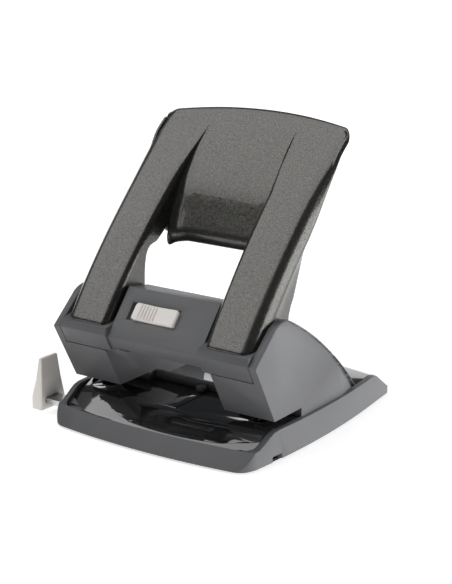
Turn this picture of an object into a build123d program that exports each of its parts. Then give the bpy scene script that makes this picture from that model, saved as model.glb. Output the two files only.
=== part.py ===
from build123d import *
import math
import os

# Two-hole office punch.  X runs across the two punches, the user stands on the -Y side and Z is up.
# The origin is on the ground, midway between the punches and straight below the punching line.
# Every length is in millimetres and every angle in degrees.

# ---------------------------------------------------------------- driving dimensions
PUNCH_PITCH = 80.0           # distance between the two holes
PIN_RADIUS = 2.75            # a 5.5 mm hole
RUN_GAP = 0.05               # radial clearance of every running fit
SLACK = 0.4                  # side clearance between parts that pass each other
TOUCH = 0.2                  # clearance between moulded parts of one body

PUNCH_X = PUNCH_PITCH / 2
BASE_HALF_WIDTH = PUNCH_X + 14.5  # widest place of the base, seen from above
BASE_FRONT = -31.4           # front edge on the centre line
BASE_REAR = 97.5             # rear edge on the centre line
FRONT_SAG = 4.2              # bow of the front edge
REAR_SAG = 6.0               # bow of the rear edge
FRONT_CORNER_X = BASE_HALF_WIDTH - 3.3
REAR_CORNER_X = BASE_HALF_WIDTH - 5.4
FRONT_CORNER_RADIUS = 9.0
REAR_CORNER_RADIUS = 4.0
FOOT_HEIGHT = 1.0            # rubber below the tray
TABLE_Z = 14.0               # surface that the paper lies on
COVER_WALL = 2.2             # glossy table cover
TRAY_WALL = 2.6              # matte tray wall, also the width of its rim
TRAY_END_WALL = 5.6          # the same at the sloping front and rear
FLANGE = 8.5                 # bottom flange around the chip opening
FLANGE_THICKNESS = 2.0
DECK_THICKNESS = 1.4         # inner deck under the die plate
DIE_PLATE_THICKNESS = 2.6
APRON = [(0, 0.07), (5.4, 0.593), (8.4, 0.636), (11.3, 0.743), (14.2, 0.864), (17.0, 0.964), (20.0, 1.0)]
#                              # front slope: distance from the edge and share of the table's height
REAR_SLOPE = (16.0, 12.0)    # rear slope's start and knee, from the rear edge
REAR_EDGE_Z = 4.0
RIDGE = (3.4, -10.0, 16.0, 0.4)  # half width, front, rear and height of the table's centre ridge
CHIP_HOLE_RADIUS = 6.0
LID_THICKNESS = 1.6

PILLAR_OUTER_X = PUNCH_X + 12.5
PILLAR_INNER_X = PUNCH_X - 12.5
OUTER_WALL = 3.5
INNER_WALL = 2.5
FRONT_WALL = 2.2
SLOT_HEIGHT = 4.0            # paper slot under each jaw
SLOT_REAR_Y = 12.0
PILLAR_REAR_Y = 56.5
SEAM_Z = 36.3                # top edge of the fixed front wall of a jaw
ROOF_FRONT_Y = 27.0          # the pillar is open above, in front of this
ROOF_ARC = (32.6, 38.9)      # a point of the pillar's sunken rear arc, in Y and Z
JAW_FRONT_Y = -8.5           # jaw's lower front corner
JAW_TOP_Y = -23.0            # jaw's upper front corner
JAW_TOP_Z = 44.5
PEAK_Z = 59.0                # highest point of the outer wall
PEAK_START = (-9.0, 2.1)     # where the rounded peak starts: Y, and how far below the peak
PEAK_END = (3.3, 1.0)

PIVOT_Y = -13.0
PIVOT_Z = 40.5
AXLE_RADIUS = 2.5
HUB_RADIUS = 4.2
EAR_RADIUS = 4.8
EAR_THICKNESS = 1.8
BLOCK_HALF_WIDTH = 6.6       # the cast block is centred on its pin
NOSE_TOP_Z = 27.0            # top of the cast nose that guides the pin
COLUMN_REAR_Y = 46.0
BUSH_RADIUS = PIN_RADIUS + 1.75
PRESS_ANGLE = 35.0

TIP_REST_Z = 18.6            # cutting edge of the raised pin
HEAD_TOP_Z = 44.1
HEAD_RADIUS = 3.6
HEAD_HEIGHT = 2.0
COLLAR_HEIGHT = 0.5
SPRING_WIRE = 0.9
SPRING_TURNS = 5
NOSE_Z = 47.5                # centre of the lever's round nose above the pin
NOSE_RADIUS = 3.0
BAR_Y = -2.4                 # steel bar that ties the two levers
BAR_Z = 53.2
BAR_RADIUS = 2.5
BAR_BOSS_RADIUS = 4.2

HANDLE_HALF_WIDTH = PUNCH_X + 8.6
HANDLE_WALL = 2.2
HANDLE_FOOT = (-21.6, 48.0)  # lower end of the arms' front surface, in Y and Z
HANDLE_LENGTH = 116.1        # straight from the foot to the tip
HANDLE_ANGLE = 45.6          # lean of that line above the horizontal
HANDLE_BOW = 4.6             # how far the front surface bulges from it
TIP_THICKNESS = 4.5
TIP_ARCH = 5.8               # bow of the top edge, seen from above
TIP_CORNER = 7.5
LIP_LENGTH = 4.6             # rounded lip along the plate's lower edge
ARM_INNER_X = PUNCH_X - 16.0
EDGE_RADIUS = 5.0
SHELL_HEEL = (9.0, 54.0)     # lower rear corner of the side skirt, in Y and Z

PANEL_CHIN = (-18.5, 38.3)   # lower edge of the bridge, in Y and Z
PANEL_CREASE = (-21.5, 44.0)
PANEL_TOP = (-6.0, 62.5)
PANEL_REAR = (6.8, 60.4)
PANEL_WALL = 2.3
LOCK_SLOT = (25.3, 8.4)
LOCK_CENTRE_X = -5.7
LOCK_CENTRE_T = 13.4         # up the panel from its crease
LOCK_TRAVEL = 2.6
LOCK_RAISE = 1.2
LOCK_FLANGE = 1.2

RAIL_FRONT_Y = -18.0
RAIL_WIDTH = 8.5
RAIL_THICKNESS = 2.4
RAIL_Z = 4.8
RAIL_INNER_END = 40.0
TAB_INNER_X = -BASE_HALF_WIDTH - 8.0
TAB_THICKNESS = 6.0
TAB_TOP_THICKNESS = 1.8
TAB_TOP_Z = 26.2
TAB_Y = (-20.8, -3.6)        # front and rear of the tab's foot
NOTCH = (-10.5, -4.0, 2.4)   # gap over the rubber foot in the right wall: front, rear and height
HINGE_X = 18.0               # half width of the lid's hinge
ROD_RADIUS = 0.9

SCREW_RADIUS = 1.5
BLOCK_SCREW_RADIUS = 2.0
BLOCK_INNER_X = PUNCH_X - BLOCK_HALF_WIDTH
BLOCK_OUTER_X = PUNCH_X + BLOCK_HALF_WIDTH
SIDES = {"left": -1, "right": 1}
FAR = 200.0


# ---------------------------------------------------------------- helpers
def side_face(*edges):
    """Closed face in the YZ plane from edges whose points are (Y, Z)."""
    return Plane.YZ * make_face(Curve() + list(edges))


def side_polygon(*points):
    return Plane.YZ * make_face(Polyline(*points, close=True))


def across(face, low_x, high_x):
    """Extrude a YZ face from low_x to high_x."""
    return extrude(Pos(low_x, 0, 0) * face, amount=high_x - low_x, dir=(1, 0, 0))


def block(low, high):
    size = [b - a for a, b in zip(low, high)]
    return Pos(*low) * Box(*size, align=(Align.MIN, Align.MIN, Align.MIN))


def upright(radius, x, y, low_z, high_z):
    bottom = (Align.CENTER, Align.CENTER, Align.MIN)
    return Pos(x, y, low_z) * Cylinder(radius, high_z - low_z, align=bottom)


def crosswise(radius, low_x, high_x, y, z):
    """Cylinder along X."""
    disc = Pos(low_x, y, z) * (Plane.YZ * Circle(radius))
    return extrude(disc, amount=high_x - low_x, dir=(1, 0, 0))


def mirrored(solid, side):
    return solid if side > 0 else mirror(solid, about=Plane.YZ)


def hull_face(discs):
    edges = [edge for disc in discs for edge in disc.edges()]
    return Plane.YZ * make_hull(edges)


def toward(point, direction, length):
    return (point[0] + direction[0] * length, point[1] + direction[1] * length)


def save(node, shape):
    os.makedirs("parts", exist_ok=True)
    export_step(shape, "parts/" + node + ".step")


# ---------------------------------------------------------------- base
FRONT_RADIUS = (FRONT_CORNER_X**2 + FRONT_SAG**2) / (2 * FRONT_SAG)
REAR_RADIUS = (REAR_CORNER_X**2 + REAR_SAG**2) / (2 * REAR_SAG)
TRAY_BOTTOM = FOOT_HEIGHT
DECK_Z = TABLE_Z - COVER_WALL - TOUCH - DIE_PLATE_THICKNESS - DECK_THICKNESS
DIE_PLATE_Z = DECK_Z + DECK_THICKNESS


def circle_through(first, second, third):
    """Centre and radius of the circle through three points of the XY plane."""
    ax, ay = second[0] - first[0], second[1] - first[1]
    bx, by = third[0] - first[0], third[1] - first[1]
    a_square = ax * ax + ay * ay
    b_square = bx * bx + by * by
    cross = 2 * (ax * by - ay * bx)
    x = (by * a_square - ay * b_square) / cross
    y = (ax * b_square - bx * a_square) / cross
    return (first[0] + x, first[1] + y), math.hypot(x, y)


def base_outline(shrink=0.0, end_shrink=None):
    """Base seen from above: bowed ends and bulging sides, moved in by shrink, the ends by end_shrink."""
    end_shrink = shrink if end_shrink is None else end_shrink
    front_y = BASE_FRONT + FRONT_SAG
    rear_y = BASE_REAR - REAR_SAG
    middle = (BASE_HALF_WIDTH, (front_y + rear_y) / 2 - 7)
    centre, side_radius = circle_through((FRONT_CORNER_X, front_y), middle, (REAR_CORNER_X, rear_y))
    face = Pos(0, BASE_FRONT + FRONT_RADIUS) * Circle(FRONT_RADIUS - end_shrink)
    face &= Pos(0, BASE_REAR - REAR_RADIUS) * Circle(REAR_RADIUS - end_shrink)
    for side in (-1, 1):
        face &= Pos(side * centre[0], centre[1]) * Circle(side_radius - shrink)
    face = fillet(face.vertices().group_by(Axis.Y)[0], max(FRONT_CORNER_RADIUS - shrink, 1.0))
    return fillet(face.vertices().group_by(Axis.Y)[-1], max(REAR_CORNER_RADIUS - shrink, 1.0))


def top_envelope(lower):
    """Everything under the base's top surface: sloped front, apron, flat table and rear slope."""
    top = TABLE_Z - lower
    centre = BASE_FRONT + FRONT_RADIUS
    front = [(BASE_FRONT + distance, share * TABLE_Z - lower) for distance, share in APRON]
    front = [(BASE_FRONT, -5)] + front + [(BASE_FRONT + FAR, top), (BASE_FRONT + FAR, -5)]
    front_solid = revolve(side_polygon(*front), axis=Axis((0, centre, 0), (0, 0, 1)))
    centre = BASE_REAR - REAR_RADIUS
    start, knee = REAR_SLOPE
    rear = [(centre, -5), (centre, top), (BASE_REAR - start, top), (BASE_REAR - knee, top - 1.0)]
    rear += [(BASE_REAR, REAR_EDGE_Z - lower), (BASE_REAR, -5)]
    rear_solid = revolve(side_polygon(*rear), axis=Axis((0, centre, 0), (0, 0, 1)))
    return front_solid & rear_solid


OUTLINE = base_outline()
COVER_OUTLINE = base_outline(TRAY_WALL, TRAY_END_WALL)


def slab(face, low_z, high_z):
    return extrude(Pos(0, 0, low_z) * face, amount=high_z - low_z)


LID_LOW = (-BASE_HALF_WIDTH + TRAY_WALL + FLANGE, BASE_FRONT + FRONT_SAG + TRAY_WALL + FLANGE - 4)
LID_HIGH = (BASE_HALF_WIDTH - TRAY_WALL - FLANGE, BASE_REAR - REAR_SAG - TRAY_WALL - FLANGE)
RAIL_REAR_Y = RAIL_FRONT_Y + RAIL_WIDTH
RAIL_TOP_Z = RAIL_Z + RAIL_THICKNESS
CHANNEL_RIB = 1.5
HINGE_Y = LID_HIGH[1] + 1.6
HINGE_Z = TRAY_BOTTOM + 1.0
BLOCK_SCREW_PLACES = [(x, y) for x in (PUNCH_X - 4.0, PUNCH_X + 2.0) for y in (22.0, 38.0)]
COVER_TAB_PLACES = [(side * (PUNCH_X + 4.0), y) for side in (-1, 1) for y in (60.0, 74.0)]


def base_tray():
    walls = slab(OUTLINE, TRAY_BOTTOM, TABLE_Z) & top_envelope(0)
    hollow = slab(COVER_OUTLINE, TRAY_BOTTOM + FLANGE_THICKNESS, FAR)
    tray = walls - hollow
    low = (LID_LOW[0] - SLACK, LID_LOW[1] - SLACK, 0)
    high = (LID_HIGH[0] + SLACK, LID_HIGH[1] + SLACK, FAR)
    tray -= block(low, high)
    deck = slab(COVER_OUTLINE, DECK_Z, DIE_PLATE_Z)
    deck -= block((-FAR, -FAR, 0), (FAR, RAIL_FRONT_Y - TOUCH - CHANNEL_RIB, FAR))
    ribs = []
    for low_y in (RAIL_FRONT_Y - TOUCH - CHANNEL_RIB, RAIL_REAR_Y + TOUCH):
        low = (-BASE_HALF_WIDTH, low_y, RAIL_Z)
        ribs.append(block(low, (RAIL_INNER_END + 8.0, low_y + CHANNEL_RIB, DECK_Z)))
    inner = slab(COVER_OUTLINE, 0, FAR)
    underside = top_envelope(COVER_WALL + TOUCH)
    tray += (deck + ribs) & inner & underside
    for side in (-1, 1):
        tray -= upright(CHIP_HOLE_RADIUS, side * PUNCH_X, 0, DECK_Z - 1, DIE_PLATE_Z + 1)
        for x, y in BLOCK_SCREW_PLACES:
            tray -= upright(BLOCK_SCREW_RADIUS + TOUCH, side * x, y, DECK_Z - 1, DIE_PLATE_Z + 1)
    for x, y in COVER_TAB_PLACES:
        tray -= upright(SCREW_RADIUS + TOUCH, x, y, DECK_Z - 1, DIE_PLATE_Z + 1)
    window = TOUCH + 0.1
    low = (-FAR, RAIL_FRONT_Y - window, RAIL_Z - window)
    tray -= block(low, (-PUNCH_X, RAIL_REAR_Y + window, RAIL_TOP_Z + window))
    low = (BASE_HALF_WIDTH - TRAY_WALL - 3, NOTCH[0], 0)
    tray -= block(low, (FAR, NOTCH[1], TRAY_BOTTOM + NOTCH[2]))
    tray -= crosswise(ROD_RADIUS + RUN_GAP, -HINGE_X - 4, HINGE_X + 4, HINGE_Y, HINGE_Z)
    low = (-HINGE_X, HINGE_Y - 3, 0)
    return tray - block(low, (HINGE_X, HINGE_Y + 1.8, TRAY_BOTTOM + FLANGE_THICKNESS + 1))


def table_cover():
    blank = slab(base_outline(TRAY_WALL + TOUCH, TRAY_END_WALL + TOUCH), 0, FAR)
    cover = (blank & top_envelope(0)) - top_envelope(COVER_WALL)
    for side in (-1, 1):
        cover -= upright(PIN_RADIUS + 0.9, side * PUNCH_X, 0, 0, FAR)
        for x, y in BLOCK_SCREW_PLACES:
            cover -= upright(BLOCK_SCREW_RADIUS + TOUCH, side * x, y, 0, FAR)
    for x, y in COVER_TAB_PLACES:
        cover += upright(3.0, x, y, DIE_PLATE_Z, TABLE_Z - COVER_WALL)
        cover -= upright(SCREW_RADIUS, x, y, DIE_PLATE_Z - 1, TABLE_Z - COVER_WALL + 1)
    half_width, front, rear, height = RIDGE
    return cover + block((-half_width, front, TABLE_Z - 0.1), (half_width, rear, TABLE_Z + height))


def die_plate():
    half_width = PUNCH_X + 9.0
    high = (half_width, COLUMN_REAR_Y, DIE_PLATE_Z + DIE_PLATE_THICKNESS)
    plate = block((-half_width, -7, DIE_PLATE_Z), high)
    plate = fillet(plate.edges().filter_by(Axis.Z), 3)
    for side in (-1, 1):
        plate -= upright(BUSH_RADIUS, side * PUNCH_X, 0, 0, FAR)
        for x, y in BLOCK_SCREW_PLACES:
            plate -= upright(BLOCK_SCREW_RADIUS + TOUCH, side * x, y, 0, FAR)
    return plate


def die_insert(side):
    ring = upright(BUSH_RADIUS, side * PUNCH_X, 0, DIE_PLATE_Z, DIE_PLATE_Z + DIE_PLATE_THICKNESS)
    return ring - upright(PIN_RADIUS + RUN_GAP, side * PUNCH_X, 0, 0, FAR)


def chip_tray():
    """Shallow lid that closes the chip space and swings down about a rod at its rear edge."""
    low = (LID_LOW[0], LID_LOW[1], TRAY_BOTTOM)
    high = (LID_HIGH[0], LID_HIGH[1], TRAY_BOTTOM + LID_THICKNESS)
    lid = fillet(block(low, high).edges().filter_by(Axis.Z), 4)
    lip_low = (low[0] + 3, low[1] + 5, high[2])
    lip_high = (high[0] - 3, high[1] - 5, high[2] + 1.0)
    lip = block(lip_low, lip_high)
    lip -= block((lip_low[0] + 1.4, lip_low[1] + 1.4, 0), (lip_high[0] - 1.4, lip_high[1] - 1.4, FAR))
    reach = HINGE_X - 0.5
    knuckle = crosswise(1.5, -reach, reach, HINGE_Y, HINGE_Z)
    knuckle &= block((-FAR, -FAR, TRAY_BOTTOM), (FAR, FAR, FAR))
    knuckle += block((-reach, HINGE_Y - 2.6, TRAY_BOTTOM), (reach, HINGE_Y, TRAY_BOTTOM + LID_THICKNESS))
    return lid + lip + knuckle - crosswise(ROD_RADIUS, -FAR, FAR, HINGE_Y, HINGE_Z)


def chip_tray_rod():
    return crosswise(ROD_RADIUS, -HINGE_X - 3.5, HINGE_X + 3.5, HINGE_Y, HINGE_Z)


def front_foot_strip():
    """U-shaped rubber strip under the tray's front and side flanges."""
    strip = slab(base_outline(2.0), 0, TRAY_BOTTOM) - slab(base_outline(7.5), -1, FAR)
    return strip & block((-FAR, -FAR, -1), (FAR, 5.0, FAR))


def rear_feet():
    feet = []
    rear = BASE_REAR - REAR_SAG - 3.5
    for centre in (-34.0, 34.0):
        feet.append(block((centre - 9, rear - 4.0, 0), (centre + 9, rear, TRAY_BOTTOM)))
    return Compound(feet)


def rail_keeper():
    """Steel strap under the channel that keeps the paper guide's rail up."""
    low = (-40, RAIL_FRONT_Y - TOUCH - CHANNEL_RIB, RAIL_Z - 0.8)
    high = (-24, RAIL_REAR_Y + TOUCH + CHANNEL_RIB, RAIL_Z)
    return block(low, high)


# ---------------------------------------------------------------- pillars
def pillar_edges():
    jaw_bottom = TABLE_Z + SLOT_HEIGHT
    peak_start = (PEAK_START[0], PEAK_Z - PEAK_START[1])
    peak_end = (PEAK_END[0], PEAK_Z - PEAK_END[1])
    foot = (PILLAR_REAR_Y, TABLE_Z + 2.0)
    front = Polyline((SLOT_REAR_Y, TABLE_Z), (SLOT_REAR_Y, jaw_bottom), (JAW_FRONT_Y, jaw_bottom),
                     (JAW_TOP_Y, JAW_TOP_Z), peak_start)
    peak = ThreePointArc(peak_start, ((PEAK_START[0] + PEAK_END[0]) / 2, PEAK_Z), peak_end)
    back = ThreePointArc(peak_end, ROOF_ARC, foot)
    rear = Polyline(foot, (PILLAR_REAR_Y, TABLE_Z), (SLOT_REAR_Y, TABLE_Z))
    return front, peak, back, rear


def jaw_front_y(z):
    """Y of the leaning front face of a jaw at height z."""
    share = (z - TABLE_Z - SLOT_HEIGHT) / (JAW_TOP_Z - TABLE_Z - SLOT_HEIGHT)
    return JAW_FRONT_Y + share * (JAW_TOP_Y - JAW_FRONT_Y)


WALL_FACE_X = PILLAR_OUTER_X - OUTER_WALL
CAVITY_INNER_X = PILLAR_INNER_X + INNER_WALL


def housing():
    """Right-hand pillar shell: fixed jaw, outer cheek, inner wall and rear roof."""
    profile = side_face(*pillar_edges())
    shell = across(profile, PILLAR_INNER_X, PILLAR_OUTER_X)
    core = offset(profile, amount=-FRONT_WALL, kind=Kind.INTERSECTION)
    cavity = across(core, CAVITY_INNER_X, WALL_FACE_X)
    foot_top = TABLE_Z + FRONT_WALL + 0.1
    foot_low = (CAVITY_INNER_X, SLOT_REAR_Y + FRONT_WALL, 0)
    foot = block(foot_low, (WALL_FACE_X, PILLAR_REAR_Y - 5.0, foot_top))
    mouth = block((PILLAR_INNER_X - 1, -FAR, SEAM_Z), (WALL_FACE_X, ROOF_FRONT_Y, FAR))
    dip = side_polygon((-16.5, SEAM_Z + 1), (-2, 31), (10, 31), (ROOF_FRONT_Y, SEAM_Z + 1))
    shell = shell - cavity - foot - mouth
    shell -= across(dip, PILLAR_INNER_X - 1, CAVITY_INNER_X + 1)
    shell -= upright(BUSH_RADIUS, PUNCH_X, 0, 0, NOSE_TOP_Z)
    edges = shell.edges().filter_by(lambda e: e.center().X > PILLAR_OUTER_X - 0.01)
    edges = edges.filter_by(lambda e: e.center().Z > SEAM_Z and e.center().Y > JAW_TOP_Y)
    return fillet(edges, 0.8)


def punch_block():
    """Cast block inside the right-hand pillar: pin guide nose, rear column and two axle ears."""
    nose_bottom = TABLE_Z + SLOT_HEIGHT + FRONT_WALL
    column_front = SLOT_REAR_Y + FRONT_WALL
    body = side_polygon((-6.8, nose_bottom), (column_front, nose_bottom), (column_front, TABLE_Z),
                        (COLUMN_REAR_Y, TABLE_Z), (COLUMN_REAR_Y, TABLE_Z + 8.0),
                        (ROOF_FRONT_Y + 3.0, NOSE_TOP_Z), (-6.8, NOSE_TOP_Z))
    cast = across(body, BLOCK_INNER_X, BLOCK_OUTER_X)
    boss = Pos(PIVOT_Y, PIVOT_Z) * Circle(EAR_RADIUS)
    heel = Pos(8.0, NOSE_TOP_Z + 1.0) * Circle(EAR_RADIUS)
    toe = Pos(-2.0, NOSE_TOP_Z - 2.0) * Circle(EAR_RADIUS - 0.2)
    ear = hull_face([boss, heel, toe])
    for low_x in (BLOCK_INNER_X, BLOCK_OUTER_X - EAR_THICKNESS):
        cast += across(ear, low_x, low_x + EAR_THICKNESS)
    cast -= crosswise(AXLE_RADIUS, 0, FAR, PIVOT_Y, PIVOT_Z)
    cast -= upright(BUSH_RADIUS, PUNCH_X, 0, 0, NOSE_TOP_Z + 1)
    for x, y in BLOCK_SCREW_PLACES:
        cast -= upright(BLOCK_SCREW_RADIUS, x, y, 0, TABLE_Z + 8)
    return cast


def guide_bush():
    bush = upright(BUSH_RADIUS, PUNCH_X, 0, TABLE_Z + SLOT_HEIGHT + TOUCH, NOSE_TOP_Z)
    return bush - upright(PIN_RADIUS + RUN_GAP, PUNCH_X, 0, 0, FAR)


def pivot_axle():
    axle = crosswise(AXLE_RADIUS, CAVITY_INNER_X + 0.6, BLOCK_OUTER_X + 0.4, PIVOT_Y, PIVOT_Z)
    groove_x = BLOCK_INNER_X - 0.8
    groove = crosswise(AXLE_RADIUS, groove_x, groove_x + 0.6, PIVOT_Y, PIVOT_Z)
    return axle - (groove - crosswise(AXLE_RADIUS - 0.5, groove_x, groove_x + 0.6, PIVOT_Y, PIVOT_Z))


def axle_clip():
    groove_x = BLOCK_INNER_X - 0.8
    ring = crosswise(AXLE_RADIUS + 1.6, groove_x, groove_x + 0.6, PIVOT_Y, PIVOT_Z)
    ring -= crosswise(AXLE_RADIUS - 0.5, groove_x, groove_x + 0.6, PIVOT_Y, PIVOT_Z)
    mouth_low = (groove_x - 1, PIVOT_Y - 0.9, PIVOT_Z - FAR)
    return ring - block(mouth_low, (groove_x + 2, PIVOT_Y + 0.9, PIVOT_Z))


def punch_pin():
    """Hardened pin with a hollow-ground tip and a round head."""
    pin = upright(PIN_RADIUS, PUNCH_X, 0, TIP_REST_Z, HEAD_TOP_Z - HEAD_HEIGHT)
    pin += upright(HEAD_RADIUS, PUNCH_X, 0, HEAD_TOP_Z - HEAD_HEIGHT, HEAD_TOP_Z)
    pin = chamfer(pin.edges().group_by(Axis.Z)[-1], 0.6)
    hollow = crosswise(4.0, 0, FAR, 0, TIP_REST_Z - 3.2)
    return pin - hollow


def pin_collar():
    low_z = HEAD_TOP_Z - HEAD_HEIGHT - COLLAR_HEIGHT
    ring = upright(HEAD_RADIUS + 0.6, PUNCH_X, 0, low_z, low_z + COLLAR_HEIGHT)
    return ring - upright(PIN_RADIUS, PUNCH_X, 0, 0, FAR)


def return_spring():
    coil_radius = PIN_RADIUS + 0.5 + SPRING_WIRE / 2
    low_z = NOSE_TOP_Z + SPRING_WIRE / 2 + 0.1
    height = HEAD_TOP_Z - HEAD_HEIGHT - COLLAR_HEIGHT - SPRING_WIRE / 2 - 0.1 - low_z
    path = Pos(PUNCH_X, 0, low_z) * Helix(height / SPRING_TURNS, height, coil_radius)
    section = Plane(path @ 0, z_dir=path % 0) * Circle(SPRING_WIRE / 2)
    return sweep(section, path=path)


# ---------------------------------------------------------------- handle
def handle_axis():
    angle = math.radians(HANDLE_ANGLE)
    return (math.cos(angle), math.sin(angle)), (math.sin(angle), -math.cos(angle))


ALONG, INWARD = handle_axis()


def front_arc(depth):
    """The arms' front surface, moved inward by depth: start, middle and end points."""
    foot = toward(HANDLE_FOOT, INWARD, depth)
    tip = toward(foot, ALONG, HANDLE_LENGTH)
    middle = toward(toward(foot, ALONG, HANDLE_LENGTH / 2), INWARD, -HANDLE_BOW)
    return foot, middle, tip


def along_handle(share, depth):
    """A point at this share of the handle's length, depth below the straight line."""
    return toward(toward(HANDLE_FOOT, ALONG, HANDLE_LENGTH * share), INWARD, depth)


PLATE_TOP = along_handle(0.91, -1.2)
PLATE_MIDDLE = along_handle(0.668, 1.75)
PLATE_LIP = along_handle(0.48, 9.2)
SKIRT_BREAK = along_handle(0.718, 7.1)


def plan_outline(shrink):
    """Handle seen from above: straight sides, rounded corners and an arched top edge."""
    half = HANDLE_HALF_WIDTH - shrink
    tip_y = front_arc(0)[2][0] + 0.7 - shrink
    side_y = tip_y - TIP_ARCH
    arch = ThreePointArc((-half, side_y), (0, tip_y), (half, side_y))
    sides = Polyline((half, side_y), (half, -60), (-half, -60), (-half, side_y))
    face = make_face([arch, sides])
    corners = face.vertices().filter_by(lambda v: v.Y > 0)
    return slab(fillet(corners, TIP_CORNER - shrink), 0, FAR)


def handle_shell():
    foot, middle, tip = front_arc(0)
    tip_rear = toward(tip, INWARD, TIP_THICKNESS)
    upper_rear = ThreePointArc(tip_rear, along_handle(0.86, 2.3), SKIRT_BREAK)
    lower_rear = ThreePointArc(SKIRT_BREAK, toward(SHELL_HEEL, (0.405, 1.0), 25.8), SHELL_HEEL)
    edges = [ThreePointArc(foot, middle, tip), Line(tip, tip_rear), upper_rear, lower_rear]
    edges.append(Line(SHELL_HEEL, foot))
    prism = across(side_face(*edges), -HANDLE_HALF_WIDTH, HANDLE_HALF_WIDTH)
    long_edges = prism.edges().filter_by(lambda e: abs(e.center().X) > HANDLE_HALF_WIDTH - 0.1)
    front_edges = long_edges.filter_by(lambda e: e.length > HANDLE_LENGTH)
    outer = fillet(front_edges, EDGE_RADIUS) & plan_outline(0)
    inner_foot, inner_middle, inner_tip = front_arc(HANDLE_WALL)
    low_foot = toward(inner_foot, ALONG, -30)
    behind_front = [ThreePointArc(inner_foot, inner_middle, inner_tip), Line(inner_foot, low_foot),
                    Polyline(low_foot, (FAR, low_foot[1]), (FAR, inner_tip[1] - 20), inner_tip)]
    inner_plan = plan_outline(HANDLE_WALL)
    wide = HANDLE_HALF_WIDTH - HANDLE_WALL
    arm_void = across(side_face(*behind_front), ARM_INNER_X + HANDLE_WALL, wide)
    arm_void += mirror(arm_void, about=Plane.YZ)
    lip_front = toward(PLATE_LIP, (0.35, -1.0), LIP_LENGTH)
    recess = [ThreePointArc(PLATE_TOP, PLATE_MIDDLE, PLATE_LIP),
              Polyline(PLATE_LIP, lip_front, (FAR, 60), (FAR, 0), (-FAR, 0), (-FAR, FAR), PLATE_TOP)]
    plate_back = [toward(p, (0.87, -0.5), HANDLE_WALL) for p in (PLATE_TOP, PLATE_MIDDLE, PLATE_LIP)]
    lip_end = toward(plate_back[2], (0.35, -1.0), LIP_LENGTH)
    wall_rear = SHELL_HEEL[0] - 2.4
    rear_cut = [ThreePointArc(*plate_back),
                Polyline(plate_back[2], lip_end, (wall_rear + 5.5, lip_end[1] + 0.8),
                         (wall_rear, lip_end[1] - 5.5), (wall_rear, 20), (FAR, 20), (FAR, FAR),
                         (plate_back[0][0] + 12, FAR), plate_back[0])]
    plate_void = across(side_face(*rear_cut), -wide, wide)
    plate_void &= across(side_face(*behind_front), -wide, wide)
    shell = outer - (arm_void & inner_plan) - (plate_void & inner_plan)
    shell -= across(side_face(*recess), -ARM_INNER_X, ARM_INNER_X)
    solid_front = outer & across(side_face(*behind_front), -HANDLE_HALF_WIDTH, HANDLE_HALF_WIDTH)
    for side in (-1, 1):
        for x, y in HANDLE_SCREW_PLACES:
            boss = upright(2.8, side * x, y, web_z(y) + TOUCH, FAR) & solid_front
            shell += boss
            shell -= upright(SCREW_RADIUS, side * x, y, 0, web_z(y) + 9)
        hole_x = side * ARM_INNER_X
        shell -= crosswise(BAR_RADIUS + TOUCH, hole_x - 3, hole_x + 3, BAR_Y, BAR_Z)
    return shell


HANDLE_SCREW_PLACES = [(PUNCH_X - 10.8, 4.8), (PUNCH_X - 10.8, -10.5)]
WEB_THICKNESS = 2.4


def web_z(y):
    """Height of the shell's lower edge above the frame's web at this Y."""
    slope = (SHELL_HEEL[1] - HANDLE_FOOT[1]) / (SHELL_HEEL[0] - HANDLE_FOOT[0])
    return HANDLE_FOOT[1] + slope * (y - HANDLE_FOOT[0])


CHEEK_OUTER = HANDLE_HALF_WIDTH
CHEEK_INNER = BLOCK_OUTER_X + 0.6
LEVER_LOW_X = BLOCK_INNER_X + EAR_THICKNESS + SLACK
LEVER_HIGH_X = BLOCK_OUTER_X - EAR_THICKNESS - SLACK


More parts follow.
